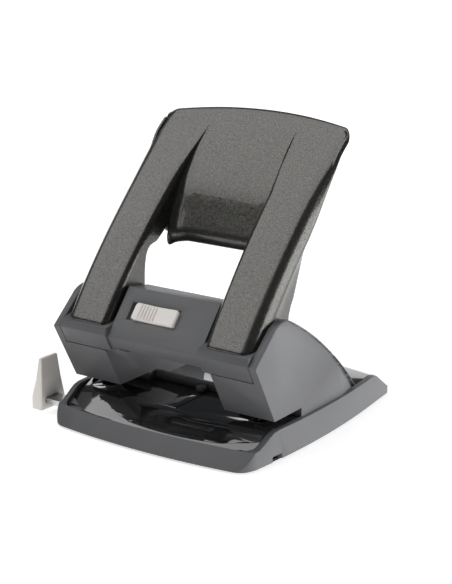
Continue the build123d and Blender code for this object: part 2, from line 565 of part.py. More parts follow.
def handle_frame():
    """Moulded frame inside the handle: two caps over the jaws and the bridge between them."""
    seam_y = jaw_front_y(SEAM_Z + SLACK)
    top_y = HANDLE_FOOT[0] - 0.6
    top_z = web_z(top_y) - TOUCH
    seam = (seam_y, SEAM_Z + SLACK)
    inside_y = top_y + 3.6
    heel_y = SHELL_HEEL[0]
    heel_z = web_z(heel_y) - TOUCH
    skin = side_polygon(seam, (JAW_TOP_Y, JAW_TOP_Z), (top_y, top_z), (inside_y, web_z(inside_y) - TOUCH),
                        (inside_y - 0.3, JAW_TOP_Z - 2.5), (seam_y + 2.0, seam[1]))
    web = side_polygon((top_y, top_z), (heel_y, heel_z), (heel_y, heel_z - WEB_THICKNESS),
                       (top_y, top_z - WEB_THICKNESS))
    cheek = side_polygon(seam, (JAW_TOP_Y, JAW_TOP_Z), (top_y, top_z), (heel_y, heel_z),
                         (heel_y - 2.0, heel_z - 8.0), (PIVOT_Y + 5.0, seam[1]))
    crease, top, rear = PANEL_CREASE, PANEL_TOP, PANEL_REAR
    chin = PANEL_CHIN
    wall = PANEL_WALL
    up = panel_plane().y_dir
    inner_crease = (crease[0] + wall * up.Z + 0.6 * up.Y, crease[1] - wall * up.Y + 0.6 * up.Z)
    inner_top = (top[0] + wall * up.Z - 0.8 * up.Y, top[1] - wall * up.Y - 0.8 * up.Z)
    bridge = side_polygon(chin, crease, top, rear, (rear[0], rear[1] - 6), (rear[0] - wall, rear[1] - 6),
                          (rear[0] - wall, rear[1] - 2.0), inner_top, inner_crease,
                          (chin[0] + wall, chin[1]))
    frame = across(bridge, -ARM_INNER_X + TOUCH, ARM_INNER_X - TOUCH)
    for side in (-1, 1):
        cap = across(skin, ARM_INNER_X - TOUCH, CHEEK_OUTER)
        cap += across(web, ARM_INNER_X - TOUCH, CHEEK_OUTER)
        cap += across(cheek, CHEEK_INNER, CHEEK_OUTER)
        cap += across(cheek, ARM_INNER_X - TOUCH, ARM_INNER_X - TOUCH + 2.0)
        for face in lever_faces(SLACK / 2):
            cap -= across(face, LEVER_LOW_X - SLACK / 2, LEVER_HIGH_X + SLACK / 2)
        for x, y in HANDLE_SCREW_PLACES:
            cap -= upright(SCREW_RADIUS + TOUCH, x, y, 0, FAR)
        cap = mirrored(cap, side)
        rib_x = side * (ARM_INNER_X - 1.2)
        rib = across(side_polygon((-16, 42), (-19, 44.6), (-6.5, 60.5), (5, 58.6), (5, 52), (-4, 48)),
                     rib_x - 1, rib_x + 1)
        frame += cap
        frame += rib
    frame -= crosswise(BAR_RADIUS + RUN_GAP, -CHEEK_OUTER, CHEEK_OUTER, BAR_Y, BAR_Z)
    frame -= on_panel(Box(LOCK_SLOT[0], LOCK_SLOT[1], 12), 0)
    return frame


def panel_plane():
    run = PANEL_TOP[0] - PANEL_CREASE[0]
    rise = PANEL_TOP[1] - PANEL_CREASE[1]
    length = math.hypot(run, rise)
    up = (0, run / length, rise / length)
    centre_y, centre_z = toward(PANEL_CREASE, (up[1], up[2]), LOCK_CENTRE_T)
    centre = (LOCK_CENTRE_X, centre_y, centre_z)
    return Plane(origin=centre, x_dir=(1, 0, 0), z_dir=(0, -up[2], up[1]))


def on_panel(solid, lift):
    """Place a solid built around the origin on the bridge panel, lifted along its normal."""
    return panel_plane() * (Pos(0, 0, lift) * solid)


def lock_slider():
    """Thumb button in the bridge's slot, with ribs on its left half."""
    length = LOCK_SLOT[0] - LOCK_TRAVEL - 2 * 0.15
    width = LOCK_SLOT[1] - 2 * 0.3
    top = (Align.CENTER, Align.CENTER, Align.MIN)
    neck = PANEL_WALL + TOUCH
    button = Pos(0, 0, -neck) * Box(length, width, neck + LOCK_RAISE, align=top)
    button = fillet(button.edges().filter_by(Axis.Z), 1.5)
    flange = Pos(0, 0, -neck - LOCK_FLANGE) * Box(length + 1.6, width + 4.0, LOCK_FLANGE, align=top)
    button += flange
    for index in range(7):
        x = -length / 2 + 4.0 + index * 1.5
        button -= Pos(x, 0, LOCK_RAISE) * Box(0.5, width - 2.0, 0.8)
    return on_panel(Pos((LOCK_SLOT[0] - length) / 2 - 0.15, 0, 0) * button, 0)


def lock_bolt():
    """Flat steel tongue under the slider."""
    tongue = Box(24.0, 5.0, 1.2, align=(Align.MAX, Align.CENTER, Align.MAX))
    return on_panel(Pos(11.0, 0, -PANEL_WALL - TOUCH - LOCK_FLANGE) * tongue, 0)


def lever_faces(grow):
    """Side outlines of the lever's arm and of its finger over the pin, made larger by grow."""
    hub = Pos(PIVOT_Y, PIVOT_Z) * Circle(HUB_RADIUS + grow)
    boss = Pos(BAR_Y, BAR_Z) * Circle(BAR_BOSS_RADIUS + grow)
    nose = Pos(0, NOSE_Z) * Circle(NOSE_RADIUS + grow)
    return hull_face([hub, boss]), hull_face([boss, nose])


def lever():
    """Right-hand steel lever: hub on the axle, arm up to the tie bar and round nose over the pin."""
    arm, finger = lever_faces(0)
    plate = across(arm, LEVER_LOW_X, LEVER_HIGH_X) + across(finger, LEVER_LOW_X, LEVER_HIGH_X)
    plate -= crosswise(AXLE_RADIUS + RUN_GAP, 0, FAR, PIVOT_Y, PIVOT_Z)
    return plate - crosswise(BAR_RADIUS, 0, FAR, BAR_Y, BAR_Z)


def lever_bar():
    return crosswise(BAR_RADIUS, -LEVER_HIGH_X - 1.0, LEVER_HIGH_X + 1.0, BAR_Y, BAR_Z)


# ---------------------------------------------------------------- paper guide, stop and fasteners
def paper_guide_rail():
    rail = block((TAB_INNER_X, RAIL_FRONT_Y, RAIL_Z), (RAIL_INNER_END, RAIL_REAR_Y, RAIL_TOP_Z))
    for index in range(9):
        rail -= upright(0.8, -20 + index * 6.0, RAIL_REAR_Y - 1.6, RAIL_TOP_Z - 0.5, RAIL_TOP_Z + 1)
    return rail


def paper_guide_tab():
    """Fin-shaped end stop, thick at its foot and thin at its top."""
    low_y, high_y = TAB_Y
    low_z = TRAY_BOTTOM + 0.8
    outer_x = TAB_INNER_X - TAB_THICKNESS
    section = [(TAB_INNER_X, low_z), (TAB_INNER_X, TAB_TOP_Z), (TAB_INNER_X - TAB_TOP_THICKNESS, TAB_TOP_Z),
               (TAB_INNER_X - TAB_THICKNESS * 0.6, TAB_TOP_Z * 0.61), (outer_x, TAB_TOP_Z * 0.305),
               (outer_x, low_z)]
    face = Pos(0, low_y, 0) * (Plane.XZ * make_face(Polyline(*section, close=True)))
    fin = extrude(face, amount=high_y - low_y, dir=(0, 1, 0))
    side = side_polygon((low_y, 0), (low_y + 0.6, TAB_TOP_Z + 1), (low_y + 11.2, TAB_TOP_Z + 1),
                        (low_y + 13.2, TAB_TOP_Z * 0.61), (high_y, 0))
    return (fin & across(side, -FAR, FAR)) - guide_tongue()


def guide_tongue():
    """Rail end that is gripped in the tab's foot."""
    return block((TAB_INNER_X - 4.0, RAIL_FRONT_Y, RAIL_Z), (TAB_INNER_X, RAIL_REAR_Y, RAIL_TOP_Z))


def paper_stop_bar():
    reach = PILLAR_INNER_X - TOUCH
    return block((-reach, 16.0, TABLE_Z), (reach, 18.2, TABLE_Z + SLOT_HEIGHT))


def centre_nub():
    return upright(2.4, 0, 13.6, TABLE_Z + RIDGE[3], TABLE_Z + 2.6)


def screw(radius, head_radius, x, y, head_z, head_height, end_z):
    shank = upright(radius, x, y, head_z, end_z)
    head = upright(head_radius, x, y, head_z - head_height, head_z)
    cross = block((x - 0.35, y - head_radius * 0.6, head_z - head_height - 1),
                  (x + 0.35, y + head_radius * 0.6, head_z - head_height + 0.7))
    return shank + head - cross


def block_screws():
    places = [(side * x, y) for side in (-1, 1) for x, y in BLOCK_SCREW_PLACES]
    return Compound([screw(BLOCK_SCREW_RADIUS, 3.0, x, y, DECK_Z, 2.0, TABLE_Z + 8) for x, y in places])


def cover_screws():
    top = TABLE_Z - COVER_WALL
    return Compound([screw(SCREW_RADIUS, 2.4, x, y, DECK_Z, 1.6, top) for x, y in COVER_TAB_PLACES])


def handle_screws():
    screws = []
    for side in (-1, 1):
        for x, y in HANDLE_SCREW_PLACES:
            seat = web_z(y - 2.4) - TOUCH - WEB_THICKNESS
            screws.append(screw(SCREW_RADIUS, 2.2, side * x, y, seat, 1.6, web_z(y) + 8))
    return Compound(screws)


# ---------------------------------------------------------------- write every node
def main():
    save("base_tray", base_tray())
    save("table_cover", table_cover())
    save("die_plate", die_plate())
    save("chip_tray", chip_tray())
    save("chip_tray_rod", chip_tray_rod())
    save("front_foot_strip", front_foot_strip())
    save("rear_feet", rear_feet())
    save("rail_keeper", rail_keeper())
    for name, side in SIDES.items():
        save(name + "_housing", mirrored(housing(), side))
        save(name + "_punch_block", mirrored(punch_block(), side))
        save(name + "_guide_bush", mirrored(guide_bush(), side))
        save(name + "_die_insert", die_insert(side))
        save(name + "_pivot_axle", mirrored(pivot_axle(), side))
        save(name + "_axle_clip", mirrored(axle_clip(), side))
        save(name + "_punch_pin", mirrored(punch_pin(), side))
        save(name + "_pin_collar", mirrored(pin_collar(), side))
        save(name + "_return_spring", mirrored(return_spring(), side))
        save(name + "_lever", mirrored(lever(), side))
    save("lever_bar", lever_bar())
    save("handle_shell", handle_shell())
    save("handle_frame", handle_frame())
    save("lock_slider", lock_slider())
    save("lock_bolt", lock_bolt())
    save("paper_guide_rail", paper_guide_rail() + guide_tongue())
    save("paper_guide_tab", paper_guide_tab())
    save("paper_stop_bar", paper_stop_bar())
    save("centre_nub", centre_nub())
    save("block_screws", block_screws())
    save("cover_screws", cover_screws())
    save("handle_screws", handle_screws())


main()
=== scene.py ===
# %% [markdown]
# # A two-hole desk punch
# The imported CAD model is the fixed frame. Everything here is in metres, in the same axes: X to the
# right, Y to the rear, Z up, with the origin on the desk under the punching line.

# %% Load the frame
import math

import bmesh
import bpy
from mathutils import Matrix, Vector
from mathutils.bvhtree import BVHTree


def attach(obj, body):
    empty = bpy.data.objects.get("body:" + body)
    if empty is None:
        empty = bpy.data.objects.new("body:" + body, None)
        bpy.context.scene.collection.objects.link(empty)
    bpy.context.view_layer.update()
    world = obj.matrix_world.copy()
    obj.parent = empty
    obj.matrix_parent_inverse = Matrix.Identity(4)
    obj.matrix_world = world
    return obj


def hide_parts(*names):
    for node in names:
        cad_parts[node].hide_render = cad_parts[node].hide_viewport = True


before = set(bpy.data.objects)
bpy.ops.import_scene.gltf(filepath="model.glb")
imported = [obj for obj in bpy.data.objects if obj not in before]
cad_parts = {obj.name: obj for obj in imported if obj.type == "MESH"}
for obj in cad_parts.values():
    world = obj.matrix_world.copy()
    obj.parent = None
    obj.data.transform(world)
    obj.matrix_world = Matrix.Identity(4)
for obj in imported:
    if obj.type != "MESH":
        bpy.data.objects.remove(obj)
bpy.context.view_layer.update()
MM = 0.001

# %% [markdown]
# The camera stands where a person at the desk would see the punch from its right front. A long lens
# keeps the upright edges nearly parallel.

# %% Camera
CAMERA_PLACE = (0.3696, -0.5005, 0.2390)
AZIMUTH = math.radians(34.8)
ELEVATION = math.radians(15.85)
CAMERA_LEAN = math.radians(-0.15)
LENS_MM = 94.5
SENSOR_MM = 36
camera_data = bpy.data.cameras.new("desk_camera")
camera_data.lens = LENS_MM
camera_data.sensor_width = SENSOR_MM
camera_data.clip_start = 0.01
camera = bpy.data.objects.new("desk_camera", camera_data)
camera.location = CAMERA_PLACE
camera.rotation_euler = (math.pi / 2 - ELEVATION, CAMERA_LEAN, AZIMUTH)
bpy.context.scene.collection.objects.link(camera)
bpy.context.scene.camera = camera
bpy.context.scene.view_settings.view_transform = "Standard"
print("camera looks from", tuple(round(v, 3) for v in camera.location))

# %% [markdown]
# Modelling helpers. Each one does what a hand would do in the viewport: clear the selection, open one
# mesh, or pick faces and edges by where they are. An operator acts on all that is selected, so every
# step starts from an empty selection.


# %% Helpers for selecting
def clear_selection():
    if bpy.context.object and bpy.context.object.mode != "OBJECT":
        bpy.ops.object.mode_set(mode="OBJECT")
    bpy.ops.object.select_all(action="DESELECT")


def make_active(piece):
    clear_selection()
    piece.select_set(True)
    bpy.context.view_layer.objects.active = piece


def open_mesh(piece):
    make_active(piece)
    bpy.ops.object.mode_set(mode="EDIT")
    bpy.ops.mesh.select_all(action="DESELECT")


def close_mesh():
    bpy.ops.object.mode_set(mode="OBJECT")


def pick(kind, test):
    """Select the faces or edges of the open mesh that pass the test, and count them."""
    mesh = bmesh.from_edit_mesh(bpy.context.object.data)
    bpy.ops.mesh.select_mode(type={"edges": "EDGE", "faces": "FACE"}[kind])
    for item in getattr(mesh, kind):
        if kind == "edges":
            middle = (item.verts[0].co + item.verts[1].co) / 2
        else:
            middle = item.calc_center_median()
        item.select_set(bool(test(middle, item)))
    mesh.select_flush_mode()
    bmesh.update_edit_mesh(bpy.context.object.data)
    return sum(item.select for item in getattr(mesh, kind))


# %% [markdown]
# Finishing helpers. A modifier is applied at once, so the piece is a plain mesh. Every piece rides on
# one body of the punch, and gets the finish it is given.


# %% Helpers for finishing
def apply(piece, kind, **settings):
    make_active(piece)
    modifier = piece.modifiers.new(kind.lower(), kind)
    for name, value in settings.items():
        setattr(modifier, name, value)
    bpy.ops.object.modifier_apply(modifier=modifier.name)


def smooth(piece, degrees):
    make_active(piece)
    bpy.ops.object.shade_smooth_by_angle(angle=math.radians(degrees))


def outward(piece):
    open_mesh(piece)
    bpy.ops.mesh.select_all(action="SELECT")
    bpy.ops.mesh.remove_doubles(threshold=1e-6)
    bpy.ops.mesh.normals_make_consistent(inside=False)
    close_mesh()


def finish_piece(piece, body, slot, material, *nodes):
    piece.data.materials.clear()
    piece.data.materials.append(material)
    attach(piece, body)
    if nodes:
        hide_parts(*nodes)


# %% [markdown]
# ## Finishes
# Every finish is made from nodes that read Object coordinates, so a pattern stays on its piece when
# the piece moves. Sizes are in metres: a noise scale of 3000 repeats about every third of a millimetre.


# %% Node helpers
def new_material(name):
    material = bpy.data.materials.new(name)
    material.use_nodes = True
    tree = material.node_tree
    shader = tree.nodes["Principled BSDF"]
    place = tree.nodes.new("ShaderNodeTexCoord").outputs["Object"]
    return material, tree, shader, place


def noise(tree, place, scale, detail=3.0, roughness=0.5, stretch=None):
    if stretch:
        mapping = tree.nodes.new("ShaderNodeMapping")
        mapping.inputs["Scale"].default_value = stretch
        tree.links.new(place, mapping.inputs["Vector"])
        place = mapping.outputs["Vector"]
    node = tree.nodes.new("ShaderNodeTexNoise")
    node.inputs["Scale"].default_value = scale
    node.inputs["Detail"].default_value = detail
    node.inputs["Roughness"].default_value = roughness
    tree.links.new(place, node.inputs["Vector"])
    return node.outputs["Fac"]


def spread(tree, value, low, high, from_low=0.3, from_high=0.7):
    """Map a value between from_low and from_high onto the range low to high."""
    node = tree.nodes.new("ShaderNodeMapRange")
    node.inputs["From Min"].default_value = from_low
    node.inputs["From Max"].default_value = from_high
    node.inputs["To Min"].default_value = low
    node.inputs["To Max"].default_value = high
    tree.links.new(value, node.inputs["Value"])
    return node.outputs["Result"]


def mix_colors(tree, value, first, second):
    node = tree.nodes.new("ShaderNodeMix")
    node.data_type = "RGBA"
    node.inputs["A"].default_value = (*first, 1)
    node.inputs["B"].default_value = (*second, 1)
    tree.links.new(value, node.inputs["Factor"])
    return node.outputs["Result"]


def bump(tree, height, strength, distance):
    node = tree.nodes.new("ShaderNodeBump")
    node.inputs["Strength"].default_value = strength
    node.inputs["Distance"].default_value = distance
    tree.links.new(height, node.inputs["Height"])
    return node.outputs["Normal"]


# %% [markdown]
# The handle has a metallic lacquer: tiny aluminium flakes lie at slightly different angles under a
# clear coat. A Voronoi pattern gives each flake its own random vector, which tips the normal of the
# base layer. The clear coat keeps the smooth normal, so its reflections stay sharp.

# %% Metallic lacquer: the flakes' normal
FLAKE_SCALE = 4600
FLAKE_TILT = 0.16


def vector_math(tree, operation, first):
    node = tree.nodes.new("ShaderNodeVectorMath")
    node.operation = operation
    tree.links.new(first, node.inputs[0])
    return node


def flake_normal(tree, flakes):
    centred = vector_math(tree, "SUBTRACT", flakes.outputs["Color"])
    centred.inputs[1].default_value = (0.5, 0.5, 0.5)
    tilt = vector_math(tree, "SCALE", centred.outputs["Vector"])
    tilt.inputs["Scale"].default_value = FLAKE_TILT
    tipped = vector_math(tree, "ADD", tree.nodes.new("ShaderNodeNewGeometry").outputs["Normal"])
    tree.links.new(tilt.outputs["Vector"], tipped.inputs[1])
    return vector_math(tree, "NORMALIZE", tipped.outputs["Vector"]).outputs["Vector"]


print("flakes are about", round(1 / FLAKE_SCALE / MM, 2), "mm wide")

# %% Metallic lacquer: colour and clear coat
LACQUER_DARK = (0.024, 0.0235, 0.0220)
LACQUER_LIGHT = (0.116, 0.113, 0.105)
CLOUD_SCALE = 1700


def lacquer_material():
    material, tree, shader, place = new_material("anthracite_lacquer")
    flakes = tree.nodes.new("ShaderNodeTexVoronoi")
    flakes.inputs["Scale"].default_value = FLAKE_SCALE
    tree.links.new(place, flakes.inputs["Vector"])
    tree.links.new(flake_normal(tree, flakes), shader.inputs["Normal"])
    brightness = spread(tree, flakes.outputs["Distance"], 0.40, 0.62, 0.1, 0.7)
    cloud = noise(tree, place, CLOUD_SCALE, 3.0, 0.8)
    mottled = tree.nodes.new("ShaderNodeMath")
    mottled.operation = "MULTIPLY"
    tree.links.new(brightness, mottled.inputs[0])
    tree.links.new(spread(tree, cloud, 0.25, 1.75, 0.35, 0.65), mottled.inputs[1])
    colour = mix_colors(tree, mottled.outputs["Value"], LACQUER_DARK, LACQUER_LIGHT)
    tree.links.new(colour, shader.inputs["Base Color"])
    shader.inputs["Metallic"].default_value = 0.85
    shader.inputs["Roughness"].default_value = 0.26
    shader.inputs["Coat Weight"].default_value = 0.55
    shader.inputs["Coat Roughness"].default_value = 0.04
    shader.inputs["Coat IOR"].default_value = 1.5
    return material


LACQUER = lacquer_material()
print("finish made:", LACQUER.name)

# %% [markdown]
# The moulded plastic parts have the fine even grain of a spark-eroded mould. One fine noise makes the
# bump and varies the roughness, and a faint large noise keeps the grey from being one flat value.

# %% Moulded plastics and rubber
GRAIN_DEPTH = 0.06 * MM
GRAIN_SPREAD = 0.05
GREY_DARK = (0.096, 0.097, 0.101)
GREY_LIGHT = (0.104, 0.105, 0.109)
LID_DARK = (0.035, 0.035, 0.037)
LID_LIGHT = (0.042, 0.042, 0.044)
BEIGE_DARK = (0.76, 0.72, 0.68)
BEIGE_LIGHT = (0.80, 0.76, 0.72)
RUBBER_DARK = (0.014, 0.014, 0.014)
RUBBER_LIGHT = (0.020, 0.020, 0.020)


def plastic_material(name, dark, light, roughness, grain=0.35, grain_scale=2600):
    material, tree, shader, place = new_material(name)
    colour = mix_colors(tree, spread(tree, noise(tree, place, 55, 4.0), 0, 1), dark, light)
    tree.links.new(colour, shader.inputs["Base Color"])
    fine = noise(tree, place, grain_scale, 2.0, 0.6)
    dull = spread(tree, fine, roughness - GRAIN_SPREAD, roughness + GRAIN_SPREAD)
    tree.links.new(dull, shader.inputs["Roughness"])
    tree.links.new(bump(tree, fine, grain, GRAIN_DEPTH), shader.inputs["Normal"])
    shader.inputs["Specular IOR Level"].default_value = 0.35
    return material


HOUSING = plastic_material("housing_grey_plastic", GREY_DARK, GREY_LIGHT, 0.42)
TRAY = plastic_material("tray_grey_plastic", GREY_DARK, GREY_LIGHT, 0.46)
LID = plastic_material("lid_black_plastic", LID_DARK, LID_LIGHT, 0.5)
BEIGE = plastic_material("warm_beige_plastic", BEIGE_DARK, BEIGE_LIGHT, 0.4, 0.15)
RUBBER = plastic_material("foot_black_rubber", RUBBER_DARK, RUBBER_LIGHT, 0.75, 0.5, 1500)
print("finishes made:", len(bpy.data.materials))

# %% [markdown]
# The base's cover is polished black plastic. Its colour is almost black, so what shows is the room:
# a long low wave in the normal bends the reflections a little, as on a real moulding.

# %% Black gloss
GLOSS_BLACK = (0.011, 0.011, 0.012, 1)
WAVE_SCALE = 18
WAVE_HEIGHT = 0.4 * MM


def gloss_material():
    material, tree, shader, place = new_material("piano_black_gloss")
    shader.inputs["Base Color"].default_value = GLOSS_BLACK
    haze = noise(tree, place, 160, 5.0, 0.6)
    tree.links.new(spread(tree, haze, 0.05, 0.12), shader.inputs["Roughness"])
    normal = bump(tree, noise(tree, place, WAVE_SCALE, 1.0), 0.10, WAVE_HEIGHT)
    tree.links.new(normal, shader.inputs["Normal"])
    tree.links.new(normal, shader.inputs["Coat Normal"])
    shader.inputs["Specular IOR Level"].default_value = 0.9
    shader.inputs["Coat Weight"].default_value = 1.0
    shader.inputs["Coat Roughness"].default_value = 0.03
    return material


GLOSS = gloss_material()
print("finish made:", GLOSS.name)

# %% [markdown]
# Metals inside the punch: plated and ground steel, drawn wire, die-cast zinc and turned brass, and the
# brushed rail. They differ in colour, roughness and the direction in which the noise is stretched.

# %% Metals
ALONG_X = (0.04, 1, 1)
FINE_ROUND_Z = (1, 1, 8)
TURNED_ROUND_Z = (1, 1, 10)
EVEN = (1, 1, 1)
LINE_DEPTH = 0.02 * MM
CAST_DEPTH = 0.08 * MM


def metal_material(name, dark, light, roughness, stretch=EVEN, scale=900, depth=LINE_DEPTH):
    material, tree, shader, place = new_material(name)
    lines = noise(tree, place, scale, 4.0, 0.6, stretch)
    colour = mix_colors(tree, spread(tree, lines, 0, 1), dark, light)
    tree.links.new(colour, shader.inputs["Base Color"])
    dull = spread(tree, lines, roughness - 0.06, roughness + 0.08)
    tree.links.new(dull, shader.inputs["Roughness"])
    tree.links.new(bump(tree, lines, 0.3, depth), shader.inputs["Normal"])
    shader.inputs["Metallic"].default_value = 1.0
    return material


PLATED = metal_material("zinc_plated_steel", (0.48, 0.48, 0.50), (0.60, 0.60, 0.61), 0.32)
GROUND = metal_material("ground_hard_steel", (0.38, 0.38, 0.40), (0.46, 0.46, 0.48), 0.22,
                        FINE_ROUND_Z)
WIRE = metal_material("drawn_spring_wire", (0.42, 0.42, 0.44), (0.52, 0.52, 0.54), 0.26)
CAST = metal_material("die_cast_zinc", (0.38, 0.38, 0.39), (0.50, 0.50, 0.51), 0.5,
                      EVEN, 600, CAST_DEPTH)
BRASS = metal_material("turned_brass", (0.62, 0.44, 0.20), (0.74, 0.55, 0.28), 0.24, TURNED_ROUND_Z)
SILVER = metal_material("brushed_silver_rail", (0.58, 0.58, 0.59), (0.70, 0.70, 0.71), 0.3, ALONG_X, 1600)
print("finishes made:", len(bpy.data.materials))

# %% [markdown]
# The CAD model's own parts keep their shape and get the finish of the real material. The outer parts
# are in the list as well, though modelled pieces replace them further down.

# %% Finishes for the CAD nodes
NODE_FINISH = {
    "die_plate": PLATED, "left_die_insert": GROUND, "right_die_insert": GROUND, "chip_tray": LID,
    "chip_tray_rod": PLATED, "front_foot_strip": RUBBER, "rear_feet": RUBBER, "rail_keeper": PLATED,
    "left_punch_block": CAST, "right_punch_block": CAST, "left_guide_bush": BRASS,
    "right_guide_bush": BRASS, "left_pivot_axle": GROUND, "right_pivot_axle": GROUND,
    "left_axle_clip": WIRE, "right_axle_clip": WIRE, "left_punch_pin": GROUND,
    "right_punch_pin": GROUND, "left_pin_collar": PLATED, "right_pin_collar": PLATED,
    "left_return_spring": WIRE, "right_return_spring": WIRE, "left_lever": PLATED,
    "right_lever": PLATED, "lever_bar": GROUND, "lock_bolt": PLATED, "paper_guide_rail": SILVER,
    "block_screws": PLATED, "cover_screws": PLATED, "handle_screws": PLATED, "base_tray": TRAY,
    "table_cover": GLOSS, "left_housing": HOUSING, "right_housing": HOUSING, "handle_frame": HOUSING,
    "lock_slider": BEIGE, "paper_guide_tab": BEIGE, "paper_stop_bar": HOUSING, "centre_nub": HOUSING,
    "handle_shell": LACQUER,
}
for node, finish in NODE_FINISH.items():
    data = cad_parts[node].data
    data.materials.clear()
    data.materials.append(finish)
print("CAD nodes with a finish:", len(NODE_FINISH), "of", len(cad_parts))

# %% [markdown]
# ## Handle shell
# The handle is one lacquered shell bent on a large circle. Its section changes all the way up: two
# arms with rounded edges, then a plate that starts deep between them and rises until it meets their
# front. A bevel can't fade out like that, so a grid is laid over the handle and each of its rows is
# pulled to the section at that height. The operators do the rest: faces are deleted for the hand
# hole, the lip is extruded, the lower ends are cut, the half is mirrored and the wall gets its
# thickness. The lengths in this part are in millimetres until a vertex gets its place.

# %% The circle that the handle follows
FOOT = Vector((-21.6, 48.0))
LEAN = math.radians(45.6)
CHORD = 116.1
BOW = 4.6
RADIUS = (CHORD**2 / 4 + BOW**2) / (2 * BOW)
ALONG = Vector((math.cos(LEAN), math.sin(LEAN)))
INWARD = Vector((math.sin(LEAN), -math.cos(LEAN)))
CENTRE = FOOT + ALONG * (CHORD / 2) + INWARD * (RADIUS - BOW)
SWEEP = 2 * math.asin(CHORD / 2 / RADIUS)
START = math.atan2(FOOT.y - CENTRE.y, FOOT.x - CENTRE.x)


def on_handle(share, depth):
    """Y and Z of a point at this share of the handle's length, this deep under its front."""
    angle = START - share * SWEEP
    reach = RADIUS - depth
    return CENTRE.x + reach * math.cos(angle), CENTRE.y + reach * math.sin(angle)


def from_handle(y, z):
    """The share and depth of a point given by its Y and Z."""
    offset = Vector((y, z)) - CENTRE
    return (START - math.atan2(offset.y, offset.x)) / SWEEP, RADIUS - offset.length


print("circle's radius (mm):", round(RADIUS), "and sweep (degrees):", round(math.degrees(SWEEP), 1))

# %% [markdown]
# Three depths change along the handle: the plate's, the rear edge of each arm's inner wall, and the
# rear edge of the skirt outside. Each one is a short list of places, read off by share. The plate's
# and the skirt's are first made smooth.

# %% Depths along the handle
CURVE_POINTS = 60


def along_points(points, share):
    """Depth at a share, on straight lines through a list of (share, depth)."""
    if share <= points[0][0]:
        return points[0][1]
    for (s0, d0), (s1, d1) in zip(points, points[1:]):
        if share <= s1:
            part = (share - s0) / (s1 - s0)
            return d0 + (d1 - d0) * part
    return points[-1][1]


def smooth_points(points):
    """The same list with many more points, on a Catmull-Rom curve through them."""
    steps = CURVE_POINTS // len(points) + 2
    dense = []
    for i in range(len(points) - 1):
        p0 = Vector(points[max(i - 1, 0)])
        p1 = Vector(points[i])
        p2 = Vector(points[i + 1])
        p3 = Vector(points[min(i + 2, len(points) - 1)])
        for k in range(steps):
            u = k / steps
            dense.append(0.5 * ((2 * p1) + (p2 - p0) * u + (2 * p0 - 5 * p1 + 4 * p2 - p3) * u * u
                                + (3 * p1 - p0 - 3 * p2 + p3) * u**3))
    dense.append(Vector(points[-1]))
    return [tuple(p) for p in dense]


# %% Plate, inner wall and skirt
PLATE_LIP = from_handle(24.9, 81.4)
PLATE_REAR = [(28.2, 89.6), (33.6, 102.0), (42.0, 114.2)]
PLATE_RUNS_OUT = [(0.87, 0.75), (0.935, 0.0), (1.1, 0.0)]
PLATE_DEPTH = smooth_points([PLATE_LIP] + [from_handle(*p) for p in PLATE_REAR] + PLATE_RUNS_OUT)
WALL_REAR = [(6.6, 40), (6.6, 60), (6.6, 66), (7.0, 71), (8.2, 75.0), (10.8, 77.2), (15.0, 78.0)]
WALL_BEFORE_LIP = 3.2
WALL_DEPTH = [from_handle(*p) for p in WALL_REAR] + [(PLATE_LIP[0], PLATE_LIP[1] - WALL_BEFORE_LIP)]
SKIRT_REAR = [(8.9, 30), (8.9, 56.3), (12.5, 64.5), (16.2, 73.8), (21.4, 85.4), (28.8, 94.6),
              (34.5, 102.2), (39.9, 109.4), (45.7, 116.7)]
SKIRT_RUNS_OUT = [(0.90, 1.8), (1.1, 1.8)]
SKIRT_DEPTH = smooth_points([from_handle(*p) for p in SKIRT_REAR] + SKIRT_RUNS_OUT)
print("plate lip at", [round(v, 3) for v in PLATE_LIP])
print("skirt depth from", round(SKIRT_DEPTH[0][1], 1), "to", round(SKIRT_DEPTH[-1][1], 1), "mm")

# %% [markdown]
# Seen from above, the handle's top edge is a wide arc with a rounded corner at each end. The edge is
# described in that view, and then found on the handle's circle.

# %% The top edge
HALF_WIDTH = 48.6
TIP_Y = 61.9
TIP_ARC = 225.0
TIP_CORNER = 6.5


def tip_y(x):
    """Where the top edge is, seen from above: a wide arc with rounded corners."""
    corner_x = HALF_WIDTH - TIP_CORNER
    corner_y = TIP_Y - TIP_ARC + math.sqrt((TIP_ARC - TIP_CORNER) ** 2 - corner_x**2)
    if x <= corner_x * TIP_ARC / (TIP_ARC - TIP_CORNER):
        return TIP_Y - TIP_ARC + math.sqrt(TIP_ARC**2 - x**2)
    return corner_y + math.sqrt(max(TIP_CORNER**2 - (x - corner_x) ** 2, 0.0))


def tip_share(x):
    """The share at which the handle's front reaches the top edge, found by halving."""
    target = tip_y(x)
    low = 0.6
    high = 1.2
    for _ in range(40):
        middle = (low + high) / 2
        if on_handle(middle, 0)[0] < target:
            low = middle
        else:
            high = middle
    return low


print("top edge at share", round(tip_share(0), 3), "in the middle and", round(tip_share(HALF_WIDTH), 3))

# %% [markdown]
# The section runs from the middle of the plate to the outside: plate, hollow corner, wall, rounded
# inner edge, the arm's front, rounded outer edge, a flat strip and the skirt. Below the plate there
# is only the arm, and its inner points lie where the hand hole will be cut.

# %% Inner half of the section
PLATE_X = (0.0, 6.0, 12.0, 16.5)
ARM_EDGE = [(0.0, 25.6), (0.2, 25.3), (0.5, 24.6), (0.7, 23.9), (0.9, 22.4), (1.1, 22.0)]
INNER_RADIUS = 3.4
INNER_LEAST = 1.6
HOLLOW_RADIUS = 3.4
HOLLOW_LEAST = 2.2
CURVE_STEPS = 5
QUARTER = math.pi / 2


